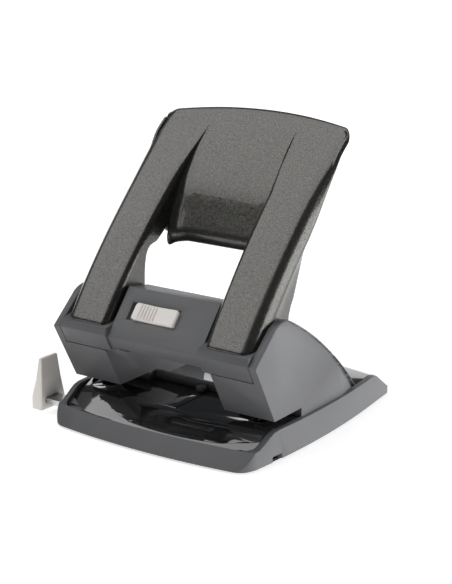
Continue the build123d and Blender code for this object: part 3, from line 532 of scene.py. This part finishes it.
def plate_points(share, edge, depth, on_plate):
    """Plate and hollow corner, or flat points and the wall's rear edge below the plate."""
    hollow = min(HOLLOW_RADIUS, depth * 0.45)
    wide = max(hollow, HOLLOW_LEAST)
    points = [(x, depth) for x in (*PLATE_X, edge - wide)]
    for step in range(1, CURVE_STEPS + 1):
        angle = QUARTER * step / CURVE_STEPS
        points.append((edge - wide + wide * math.sin(angle), depth - hollow + hollow * math.cos(angle)))
    if on_plate:
        return points
    return [(x, 0.0) for x, _ in points[:-1]] + [(edge, along_points(WALL_DEPTH, share))]


def inner_edge_points(edge, depth, on_plate):
    """The arm's rounded inner edge. It gets flatter as the plate rises."""
    inner = min(INNER_RADIUS, depth * 0.5) if on_plate else INNER_RADIUS
    wide = max(inner, INNER_LEAST)
    points = []
    for step in range(CURVE_STEPS + 1):
        angle = QUARTER * step / CURVE_STEPS
        points.append((edge + wide - wide * math.cos(angle), inner - inner * math.sin(angle)))
    return points


# %% Outer half of the section
ARM_FRONT_X = (31.5, 37.0)
OUTER_RADIUS = 5.4
STRIP_TURN = math.radians(73)
STRIP_WIDTH = 4.0
STRIP_STEPS = 6
SKIRT_LEAST = 0.8


def outer_edge_points(share):
    """Rounded outer edge, strip and skirt. All of it is squeezed where the skirt runs out."""
    strip_x = STRIP_WIDTH * math.cos(STRIP_TURN)
    strip_depth = STRIP_WIDTH * math.sin(STRIP_TURN)
    flat_end = HALF_WIDTH - OUTER_RADIUS * math.sin(STRIP_TURN) - strip_x
    side = []
    for step in range(STRIP_STEPS + 1):
        angle = STRIP_TURN * step / STRIP_STEPS
        side.append((flat_end + OUTER_RADIUS * math.sin(angle), OUTER_RADIUS * (1 - math.cos(angle))))
    x, low = side[-1]
    side += [(x + strip_x * k, low + strip_depth * k) for k in (0.5, 0.9)]
    crease = low + STRIP_WIDTH
    skirt = along_points(SKIRT_DEPTH, share)
    rear = max(skirt, crease + SKIRT_LEAST)
    side += [(HALF_WIDTH - 0.1, crease), (HALF_WIDTH - 0.3, crease + 0.5),
             (HALF_WIDTH - 0.9, (crease + rear) / 2), (HALF_WIDTH - 1.3, rear)]
    squeeze = min(1.0, skirt / rear)
    return [(x, depth * squeeze) for x, depth in side]


def section(share):
    """(X, depth) of every point across the right half."""
    on_plate = share >= PLATE_LIP[0] - 1e-6
    edge = along_points(ARM_EDGE, share)
    depth = max(along_points(PLATE_DEPTH, share), 0.0) if on_plate else 0.0
    inside = plate_points(share, edge, depth, on_plate) + inner_edge_points(edge, depth, on_plate)
    return inside + [(x, 0.0) for x in ARM_FRONT_X] + outer_edge_points(share)


COLUMNS = len(section(0.7))
PLATE_COLUMNS = len(PLATE_X) + CURVE_STEPS
print("points across half a section:", COLUMNS, "of which on the plate:", PLATE_COLUMNS + 1)

# %% [markdown]
# The rows are closest where the surface bends most: at the foot, around the plate's lip and at the top
# edge. The rows above STRETCH_FROM are stretched, so that the last one lies on the curved top edge.

# %% Rows of the grid
LOW_ROWS = [0.0, 0.004, 0.008, 0.013, 0.02, 0.045, 0.08, 0.12, 0.16, 0.2, 0.235, 0.27, 0.3, 0.33,
            0.35, 0.37, 0.385, 0.4, 0.415, 0.43, 0.455]
PLATE_ROWS = 22
PLATE_END = 0.915
UPPER_ROWS = [0.94, 0.965, 0.98, 0.988, 0.994, 0.998, 1.0]
PLATE_STEPS = [PLATE_LIP[0] + (PLATE_END - PLATE_LIP[0]) * k / PLATE_ROWS
               for k in range(PLATE_ROWS + 1)]
ROWS = LOW_ROWS + PLATE_STEPS + UPPER_ROWS
print("rows:", len(ROWS))

# %% Place of each vertex
STRETCH_FROM = 0.80
SIDE_GAP = 0.12
LIP_CORNER_X = 16.0
LIP_CORNER_RADIUS = 8.0
LIP_CORNER_PART = 0.55
LIP_CORNER_END = 0.58
ARM_INNER = 24.0
EDGE_ROLL = 1.6
FOOT_ROLL_TO = 0.013
TIP_ROLL_FROM = 0.985
SIDE_ROLL_FROM = 42.0
SIDE_ROLL_PART = 0.7


def lip_corner(row_share, column, x):
    """How much a point near the lip's rounded corner moves down, as a share."""
    near_lip = PLATE_LIP[0] - 1e-6 <= row_share < LIP_CORNER_END
    near_arm = LIP_CORNER_X < x <= ARM_INNER and column <= PLATE_COLUMNS + 1
    if not (near_lip and near_arm):
        return 0.0
    fade = 1 - (row_share - PLATE_LIP[0]) / (LIP_CORNER_END - PLATE_LIP[0])
    rise = LIP_CORNER_RADIUS - math.sqrt(max(LIP_CORNER_RADIUS**2 - (x - LIP_CORNER_X) ** 2, 0.0))
    return fade * rise / CHORD * LIP_CORNER_PART


def handle_vertex(row, column):
    """Place of one vertex of the laid grid, in metres."""
    share = ROWS[row]
    points = section(share)
    x, depth = points[column]
    widest = max(point[0] for point in points[:column + 1])
    end = tip_share(min(widest, HALF_WIDTH - SIDE_GAP))
    if share > STRETCH_FROM:
        share = STRETCH_FROM + (share - STRETCH_FROM) / (1 - STRETCH_FROM) * (end - STRETCH_FROM)
    share -= lip_corner(ROWS[row], column, x)
    foot_roll = (FOOT_ROLL_TO - ROWS[row]) / FOOT_ROLL_TO
    tip_roll = (ROWS[row] - TIP_ROLL_FROM) / (1 - TIP_ROLL_FROM)
    roll = max(foot_roll, tip_roll, 0.0)
    drop = EDGE_ROLL * (1 - math.sqrt(max(1 - roll**2, 0.0)))
    sideways = min(max((x - SIDE_ROLL_FROM) / (HALF_WIDTH - SIDE_ROLL_FROM), 0.0), 1.0)
    depth += drop * (1 - sideways)
    x -= drop * sideways * SIDE_ROLL_PART
    y, z = on_handle(share, depth)
    return Vector((x, y, z)) * MM


print("middle of the top edge (mm):", [round(v / MM, 1) for v in handle_vertex(len(ROWS) - 1, 0)])

# %% [markdown]
# Only the right half is laid, because the handle is the same on both sides. A grid primitive has its
# vertices in even rows and columns, so each vertex can be told its row and column by where it is.

# %% Lay the grid over the right half
def lay_grid(name, columns, rows, place_of):
    """Add a grid and move each of its vertices to the place of its row and column."""
    clear_selection()
    bpy.ops.mesh.primitive_grid_add(x_subdivisions=columns - 1, y_subdivisions=rows - 1, size=1)
    piece = bpy.context.object
    piece.name = name
    for vertex in piece.data.vertices:
        column = round((vertex.co.x + 0.5) * (columns - 1))
        row = round((vertex.co.y + 0.5) * (rows - 1))
        vertex.co = place_of(row, column)
    print(name, "laid:", columns, "columns and", rows, "rows")
    return piece


handle = lay_grid("handle_lacquered_shell", COLUMNS, len(ROWS), handle_vertex)

# %% [markdown]
# The hand hole is the part of the grid between the arms, below the plate. Its faces are deleted. The
# plate's edge, now open, is extruded five times in a small curve, which makes the rolled lip.

# %% Hand hole
lip_row = len(LOW_ROWS)


def in_hand_hole(centre, face):
    return all(v.index // COLUMNS <= lip_row and v.index % COLUMNS <= PLATE_COLUMNS for v in face.verts)


open_mesh(handle)
print("faces in the hand hole:", pick("faces", in_hand_hole))
bpy.ops.mesh.delete(type="FACE")

# %% Rolled lip
LIP_STEPS = ((0.0, -1.5), (0.2, -1.5), (0.7, -1.2), (1.2, -0.6), (1.6, 0.0))
lip_places = [handle_vertex(lip_row, column) for column in range(PLATE_COLUMNS + 1)]


def on_lip(centre, edge):
    return edge.is_boundary and all(min((v.co - p).length for p in lip_places) < 1e-6 for v in edge.verts)


print("lip edges:", pick("edges", on_lip))
for dy, dz in LIP_STEPS:
    bpy.ops.mesh.extrude_region_move(TRANSFORM_OT_translate={"value": (0, dy * MM, dz * MM)})

# %% [markdown]
# The arms end on the inner frame along a straight line, so they are cut there. The wall gets its
# thickness last, inward from the outer surface, so that the outer shape stays as it was laid.

# %% Cut the lower ends, mirror and give the wall its thickness
FOOT_REAR = Vector((9.0, 54.0))
WALL = 2.0
cut = (FOOT_REAR - FOOT).normalized()
bpy.ops.mesh.select_all(action="SELECT")
bpy.ops.mesh.bisect(plane_co=(0, FOOT.x * MM, FOOT.y * MM), plane_no=(0, -cut.y, cut.x),
                    clear_inner=True)
close_mesh()
apply(handle, "MIRROR", use_axis=(True, False, False), use_clip=True, merge_threshold=1e-5)
outward(handle)
apply(handle, "SOLIDIFY", thickness=WALL * MM, offset=-1, use_even_offset=False,
      use_quality_normals=True, use_rim=True)
smooth(handle, 40)
finish_piece(handle, "handle", "handle_lacquer", LACQUER, "handle_shell")
print("handle triangles:", sum(len(p.vertices) - 2 for p in handle.data.polygons))

# %% [markdown]
# ## Moulded parts with rounded edges
# A moulded part has no knife-sharp edges: each one is rounded by a few tenths of a millimetre, and
# that is where light catches it. The CAD node's mesh is copied, its doubles are merged and its flat
# areas joined, and a narrow bevel runs along every edge.

# %% Rounded copies
ROUND_FROM = math.radians(32)
FLAT_UNDER = math.radians(1.0)


def rounded_copy(node, name, width, body, slot, material, reshape=None):
    piece = bpy.data.objects.new(name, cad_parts[node].data.copy())
    bpy.context.scene.collection.objects.link(piece)
    open_mesh(piece)
    bpy.ops.mesh.select_all(action="SELECT")
    bpy.ops.mesh.remove_doubles(threshold=2e-6)
    bpy.ops.mesh.dissolve_limited(angle_limit=FLAT_UNDER)
    close_mesh()
    if reshape:
        reshape(piece)
    apply(piece, "BEVEL", width=width * MM, segments=2, limit_method="ANGLE", angle_limit=ROUND_FROM,
          use_clamp_overlap=True, miter_outer="MITER_ARC")
    smooth(piece, 30)
    finish_piece(piece, body, slot, material, node)
    print(name, "faces:", len(piece.data.polygons))


# %% [markdown]
# The rear band of a pillar's outer wall leans inward behind a curved crease. The wall is one flat
# face, so it is cut along each piece of the crease and the vertices behind it are pushed in by their
# distance from it. The crease is marked sharp, so the smoothing keeps it as a line.

# %% The crease on the pillar's wall
CREASE_MM = [(-3.0, 54.6), (1.6, 52.1), (8.1, 48.6), (14.4, 44.1), (21.6, 38.4), (29.1, 31.5),
             (35.9, 24.7), (43.7, 15.3), (45.0, 13.8)]
CREASE = [Vector(p) * MM for p in CREASE_MM]
WALL_X = 52.5 * MM
FAR_AWAY = 1.0


def on_wall(x):
    return abs(x) > WALL_X - 0.01 * MM


def behind_crease(y, z):
    """Distance behind the crease line, 0 in front of it."""
    nearest = FAR_AWAY
    for a, b in zip(CREASE, CREASE[1:]):
        step = b - a
        part = min(max((Vector((y, z)) - a).dot(step) / step.length_squared, 0.0), 1.0)
        offset = Vector((y, z)) - (a + step * part)
        if offset.length < abs(nearest):
            outside = offset.dot(Vector((-step.y, step.x))) > 0
            nearest = offset.length if outside else -offset.length
    return max(nearest, 0.0)


def on_crease(centre, edge):
    """Is this one of the wall's edges between an upright and a leaning face?"""
    faces = edge.link_faces
    if len(faces) != 2 or edge.calc_length() <= 0.5 * MM:
        return False
    leaning = any(f.normal.x**2 < 0.9995 for f in faces)
    outer = all(f.normal.x**2 > 0.8 for f in faces)
    return leaning and outer and all(on_wall(v.co.x) for v in edge.verts)


print("crease length (mm):", round(sum((b - a).length for a, b in zip(CREASE, CREASE[1:])) / MM, 1))

# %% Pillars with their leaning rear band
BAND_LEAN = 0.17


def lean_rear_band(piece):
    open_mesh(piece)
    for a, b in zip(CREASE, CREASE[1:]):
        step = b - a
        pick("faces", lambda c, f: on_wall(c.x) and abs(f.normal.x) > 0.99)
        bpy.ops.mesh.bisect(plane_co=(0, a.x, a.y), plane_no=(0, -step.y, step.x))
    mesh = bmesh.from_edit_mesh(piece.data)
    pushed = 0
    for vertex in mesh.verts:
        distance = behind_crease(vertex.co.y, vertex.co.z)
        if on_wall(vertex.co.x) and distance > 0.02 * MM:
            vertex.co.x -= math.copysign(distance * BAND_LEAN, vertex.co.x)
            pushed += 1
    bmesh.update_edit_mesh(piece.data)
    pick("edges", on_crease)
    bpy.ops.mesh.mark_sharp()
    close_mesh()
    print(piece.name, "vertices pushed in:", pushed)


for side in ("left", "right"):
    rounded_copy(side + "_housing", side + "_pillar_shell", 0.35, "base", "housing_plastic", HOUSING,
                 reshape=lean_rear_band)

# %% [markdown]
# The base runs out thin and a little longer at its rear, with a rounded edge. Its tray and its glossy
# cover are changed by the same rule there, so that they keep lying on each other.

# %% The thin rear
REAR_FROM = 82 * MM
REAR_LENGTH = 15.5 * MM
REAR_LONGER = 3.2 * MM
REAR_WIDER = 1.6 * MM
REAR_LOWER = 0.30
BASE_HALF_WIDTH = 54.5 * MM
FOOT_HEIGHT = 1.0 * MM


def thin_rear(piece):
    for vertex in piece.data.vertices:
        part = min(max((vertex.co.y - REAR_FROM) / REAR_LENGTH, 0.0), 1.0)
        if part > 0 and vertex.co.z > 0.9 * MM:
            wider = math.copysign(REAR_WIDER * part**2, vertex.co.x)
            vertex.co.y += REAR_LONGER * part
            vertex.co.x += wider * abs(vertex.co.x) / BASE_HALF_WIDTH
            vertex.co.z = FOOT_HEIGHT + (vertex.co.z - FOOT_HEIGHT) * (1 - REAR_LOWER * part)


rounded_copy("base_tray", "base_tray_moulding", 0.5, "base", "tray_plastic", TRAY, reshape=thin_rear)

# %% [markdown]
# The cover's front and left rim rolls down outside an ellipse. The CAD faces there are large and can't
# bend, so the cover is cut into narrow strips and sunk below the rim. The rim itself is a grid of its
# own, laid over it in the next step.

# %% Where the rim rolls down
ROLL_CENTRE = Vector((8, 10)) * MM
ROLL_REACH = Vector((60.5, 34.5)) * MM
ROLL_STARTS = 1.02
ROLL_DROP = 12.0 * MM
ROLL_LIMIT = 6.0 * MM


def roll_drop(outside):
    """How far the rim is lowered: nearly linear at first, and never more than the limit."""
    drop = ROLL_DROP * max(outside, 0.0)
    return drop / (1 + drop / ROLL_LIMIT)


def past_ellipse(x, y):
    """How far outside the ellipse a point is, 0 on it."""
    across = (x - ROLL_CENTRE.x) / ROLL_REACH.x
    along = max(ROLL_CENTRE.y - y, 0.0) / ROLL_REACH.y
    return across**2 + along**2 - ROLL_STARTS


# %% Glossy cover, sunk under the rim
CUT_WIDTHS = [(-51 + 3 * k) * MM for k in range(35)]
CUT_DEPTHS = [(-24.7 + 1.5 * k) * MM for k in range(19)]
CUT_FROM = -0.15
SINK_PART = 1.3
SINK_SLOPE = 8 * MM
SINK_GAP = 0.3 * MM


def near_rim(centre, face):
    return past_ellipse(centre.x, centre.y) > CUT_FROM and centre.y < ROLL_CENTRE.y


def sink_front_rim(piece):
    """Lower the cover's own faces below the rolled rim that is laid over them."""
    thin_rear(piece)
    open_mesh(piece)
    for x in CUT_WIDTHS:
        pick("faces", near_rim)
        bpy.ops.mesh.bisect(plane_co=(x, 0, 0), plane_no=(1, 0, 0))
    for y in CUT_DEPTHS:
        pick("faces", near_rim)
        bpy.ops.mesh.bisect(plane_co=(0, y, 0), plane_no=(0, 1, 0))
    close_mesh()
    for vertex in piece.data.vertices:
        outside = past_ellipse(vertex.co.x, vertex.co.y)
        if outside > 0 and vertex.co.y < ROLL_CENTRE.y:
            vertex.co.z -= roll_drop(outside) * SINK_PART + min(outside * SINK_SLOPE, SINK_GAP)


rounded_copy("table_cover", "table_gloss_cover", 0.3, "base", "table_gloss", GLOSS,
             reshape=sink_front_rim)

# %% [markdown]
# The rim is one smooth roll. Its grid runs from the ellipse to the cover's outline, which rays from
# above find, from outside inwards. Its outer edge is then extruded down, to close the gap to the tray.

# %% The cover's outline
SEARCH_FROM = 75 * MM
SEARCH_STEP = 0.5 * MM
ABOVE_COVER = 0.1
DOWN = Vector((0, 0, -1))
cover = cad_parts["table_cover"].data
cover_faces = BVHTree.FromPolygons([v.co for v in cover.vertices],
                                   [tuple(p.vertices) for p in cover.polygons])


def cover_height(x, y):
    place = cover_faces.ray_cast(Vector((x, y, ABOVE_COVER)), DOWN)[0]
    return place.z if place else None


def outline_reach(heading):
    """How far the cover's outline is from the ellipse's middle in this direction."""
    near = SEARCH_FROM
    while cover_height(*(ROLL_CENTRE + heading * near)) is None:
        near -= SEARCH_STEP
    far = near + SEARCH_STEP
    for _ in range(8):
        middle = (near + far) / 2
        if cover_height(*(ROLL_CENTRE + heading * middle)) is None:
            far = middle
        else:
            near = middle
    return near


print("outline straight ahead at (mm):", round(outline_reach(Vector((0, -1))) / MM, 1))

# %% Rolled rim
ROLL_COLUMNS = 180
ROLL_ROWS = 10
ROLL_FROM = math.radians(184)
ROLL_TO = math.radians(334)
RIM_LEAST = 0.4 * MM
RIM_INSIDE = 0.02 * MM
RIM_ABOVE = 0.03 * MM


def roll_vertex(row, column):
    angle = ROLL_FROM + (ROLL_TO - ROLL_FROM) * column / (ROLL_COLUMNS - 1)
    heading = Vector((math.cos(angle), math.sin(angle)))
    outline = outline_reach(heading)
    start = 1 / math.hypot(heading.x / ROLL_REACH.x, heading.y / ROLL_REACH.y)
    start = min(start, outline - RIM_LEAST)
    reach = start + (outline - RIM_INSIDE - start) * row / (ROLL_ROWS - 1)
    x, y = ROLL_CENTRE + heading * reach
    return Vector((x, y, cover_height(x, y) + RIM_ABOVE - roll_drop(past_ellipse(x, y))))


roll = lay_grid("table_rolled_rim", ROLL_COLUMNS, ROLL_ROWS, roll_vertex)

# %% The rim's outer edge
RIM_SKIRT = 1.0 * MM


def rounded_place(place):
    return tuple(round(v, 6) for v in place)


rim_places = {rounded_place(roll_vertex(ROLL_ROWS - 1, column)) for column in range(ROLL_COLUMNS)}


def on_outer_edge(centre, edge):
    return edge.is_boundary and all(rounded_place(v.co) in rim_places for v in edge.verts)


open_mesh(roll)
print("outer edges:", pick("edges", on_outer_edge))
bpy.ops.mesh.extrude_region_move(TRANSFORM_OT_translate={"value": (0, 0, -RIM_SKIRT)})
bpy.ops.mesh.select_all(action="SELECT")
bpy.ops.mesh.normals_make_consistent(inside=False)
if sum(face.normal.z for face in bmesh.from_edit_mesh(roll.data).faces) < 0:
    bpy.ops.mesh.flip_normals()
close_mesh()
smooth(roll, 50)
finish_piece(roll, "base", "table_gloss", GLOSS)
print("rolled rim faces:", len(roll.data.polygons))

# %% [markdown]
# The handle's inner frame, the paper guide, the paper stop and the small nub in its middle already
# have their shape in the CAD model. They only need their rounded edges.

# %% Inner frame, paper guide and paper stop
rounded_copy("handle_frame", "handle_inner_frame", 0.4, "handle", "housing_plastic", HOUSING)
rounded_copy("paper_guide_tab", "paper_guide_fin", 0.6, "paper_guide", "beige_plastic", BEIGE)
rounded_copy("paper_guide_rail", "paper_guide_strip", 0.2, "paper_guide", "rail_metal", SILVER)
rounded_copy("paper_stop_bar", "paper_stop_ledge", 0.4, "base", "housing_plastic", HOUSING)
rounded_copy("centre_nub", "centre_stop_nub", 0.5, "base", "housing_plastic", HOUSING)

# %% [markdown]
# ## Lock slider
# The slider's top is dished for the thumb and has six grooves on its left part. Grooves this fine
# could be cut with a boolean, but a grid that is laid to the surface keeps even faces. Its rim is
# extruded down through the slot and then out to the flange under the panel.

# %% The dished top with its grooves
SLIDER_HALF = Vector((11.2, 3.9))
SLIDER_CORNER = 1.5
SLIDER_ROWS = [-1, -0.985, -0.95, -0.88, -0.78, -0.6, -0.3, 0, 0.3, 0.6, 0.78, 0.88, 0.95, 0.985, 1]
SLIDER_COLUMNS = 121
SLIDER_RISE = 1.15
SLIDER_DISH = 0.28
GROOVES = [-7.6 + 1.5 * k for k in range(6)]
GROOVE_DEPTH = 0.55
GROOVE_WIDTH = 0.24
GROOVE_MARGIN = 0.7
SIDE_FROM = 0.88
END_FROM = 0.96
RIM_ROLL = 0.45


def slider_vertex(row, column):
    across = -1 + 2 * column / (SLIDER_COLUMNS - 1)
    rim = abs(SLIDER_ROWS[row])
    y = SLIDER_HALF.y * SLIDER_ROWS[row]
    over = max(abs(y) - (SLIDER_HALF.y - SLIDER_CORNER), 0.0)
    x = across * (SLIDER_HALF.x - SLIDER_CORNER + math.sqrt(max(SLIDER_CORNER**2 - over**2, 0.0)))
    height = SLIDER_RISE + SLIDER_DISH * math.cos(math.pi * (x + SLIDER_HALF.x) / SLIDER_HALF.x)
    if abs(y) < SLIDER_HALF.y - GROOVE_MARGIN:
        height -= sum(GROOVE_DEPTH * math.exp(-(((x - g) / GROOVE_WIDTH) ** 2)) for g in GROOVES)
    if abs(across) > END_FROM:
        rim = max(rim, abs(across) ** 0.5)
    turn = max((rim - SIDE_FROM) / (1 - SIDE_FROM), (abs(across) - END_FROM) / (1 - END_FROM), 0.0)
    turn = min(turn, 1.0)
    return Vector((x, y, height - RIM_ROLL * (1 - math.sqrt(1 - turn**2)))) * MM


slider = lay_grid("lock_thumb_slider", SLIDER_COLUMNS, len(SLIDER_ROWS), slider_vertex)

# %% Sides, flange and underside
SLIDER_UNDER = -2.5 * MM
FLANGE_HALF = Vector((12.0, 5.9))
FLANGE_THICK = 1.2 * MM
open_mesh(slider)
pick("edges", lambda c, e: e.is_boundary)
bpy.ops.mesh.extrude_region_move(TRANSFORM_OT_translate={"value": (0, 0, -0.5 * MM)})
for vertex in bmesh.from_edit_mesh(slider.data).verts:
    if vertex.select:
        vertex.co.z = SLIDER_UNDER
bpy.ops.mesh.extrude_region_move(TRANSFORM_OT_translate={"value": (0, 0, 0)})
for vertex in bmesh.from_edit_mesh(slider.data).verts:
    if vertex.select:
        vertex.co.x *= FLANGE_HALF.x / SLIDER_HALF.x
        vertex.co.y *= FLANGE_HALF.y / SLIDER_HALF.y
bpy.ops.mesh.extrude_region_move(TRANSFORM_OT_translate={"value": (0, 0, -FLANGE_THICK)})
bpy.ops.mesh.edge_face_add()
close_mesh()
print("slider faces:", len(slider.data.polygons))

# %% [markdown]
# The slider was made flat, at the origin. It is turned to the panel's slope and moved to its slot, and
# both are applied to the mesh.

# %% Put the slider in its slot
SLIDER_PLACE = (-4.4 * MM, -12.9 * MM, 54.26 * MM)
PANEL_RISE = 18.5
PANEL_RUN = 15.5
slider.location = SLIDER_PLACE
slider.rotation_euler = (math.atan2(PANEL_RISE, PANEL_RUN), 0, 0)
make_active(slider)
bpy.ops.object.transform_apply(location=True, rotation=True, scale=True)
outward(slider)
smooth(slider, 40)
finish_piece(slider, "lock", "beige_plastic", BEIGE, "lock_slider")
print("panel slope (degrees):", round(math.degrees(math.atan2(PANEL_RISE, PANEL_RUN)), 1))

# %% [markdown]
# ## Stage and light
# The floor is pale and glows a little, more so far away, so that it runs out to white. A large soft
# light hangs above the left front, a wide one stands low behind, and two low ones stand on the right.
# The stronger of those two is left out of reflections. The room itself is nearly dark, so the glossy
# parts show dark bands between the lights and the floor.

# %% Floor
FLOOR_SIZE = 14
GLOW_NEAR = 0.66
GLOW_FAR = 0.97
GLOW_STARTS = 0.15
GLOW_ENDS = 1.4
clear_selection()
bpy.ops.mesh.primitive_plane_add(size=FLOOR_SIZE, location=(0, 0, 0))
floor = bpy.context.object
floor.name = "pale_floor"
floor_paint = bpy.data.materials.new("pale_floor_paint")
floor_paint.use_nodes = True
tree = floor_paint.node_tree
paint = tree.nodes["Principled BSDF"]
paint.inputs["Base Color"].default_value = (0.60, 0.60, 0.60, 1)
paint.inputs["Roughness"].default_value = 0.9
paint.inputs["Specular IOR Level"].default_value = 0.0
paint.inputs["Emission Color"].default_value = (1, 1, 1, 1)
distance = vector_math(tree, "LENGTH", tree.nodes.new("ShaderNodeTexCoord").outputs["Object"])
glow = spread(tree, distance.outputs["Value"], GLOW_NEAR, GLOW_FAR, GLOW_STARTS, GLOW_ENDS)
tree.links.new(glow, paint.inputs["Emission Strength"])
floor.data.materials.append(floor_paint)
print("floor is", FLOOR_SIZE, "m wide")

# %% The dim room
ROOM_COLOR = (0.9, 0.95, 1.0, 1)
ROOM_STRENGTH = 0.06
world = bpy.context.scene.world or bpy.data.worlds.new("studio")
bpy.context.scene.world = world
world.use_nodes = True
world.node_tree.nodes["Background"].inputs["Color"].default_value = ROOM_COLOR
world.node_tree.nodes["Background"].inputs["Strength"].default_value = ROOM_STRENGTH
print("room strength:", ROOM_STRENGTH)


# %% Lights
def soft_light(name, place, target, width, height, power, reflected=True):
    data = bpy.data.lights.new(name, "AREA")
    data.shape = "RECTANGLE"
    data.size = width
    data.size_y = height
    data.energy = power
    lamp = bpy.data.objects.new(name, data)
    lamp.location = place
    lamp.rotation_euler = (Vector(target) - Vector(place)).to_track_quat("-Z", "Y").to_euler()
    lamp.visible_camera = False
    lamp.visible_glossy = reflected
    bpy.context.scene.collection.objects.link(lamp)
    print(name, power, "W")


HANDLE_MIDDLE = (0, 0, 0.06)
LOW_MIDDLE = (0, 0, 0.05)
soft_light("overhead_softbox", (-0.42, -0.37, 1.15), HANDLE_MIDDLE, 1.7, 1.7, 16)
soft_light("rear_backdrop", (-1.5, 2.1, 0.45), LOW_MIDDLE, 4.0, 0.9, 11)
soft_light("right_low", (1.45, 0.75, 0.24), HANDLE_MIDDLE, 1.5, 0.45, 46, reflected=False)
soft_light("right_rim", (1.45, 0.75, 0.18), HANDLE_MIDDLE, 0.9, 0.3, 3.5)
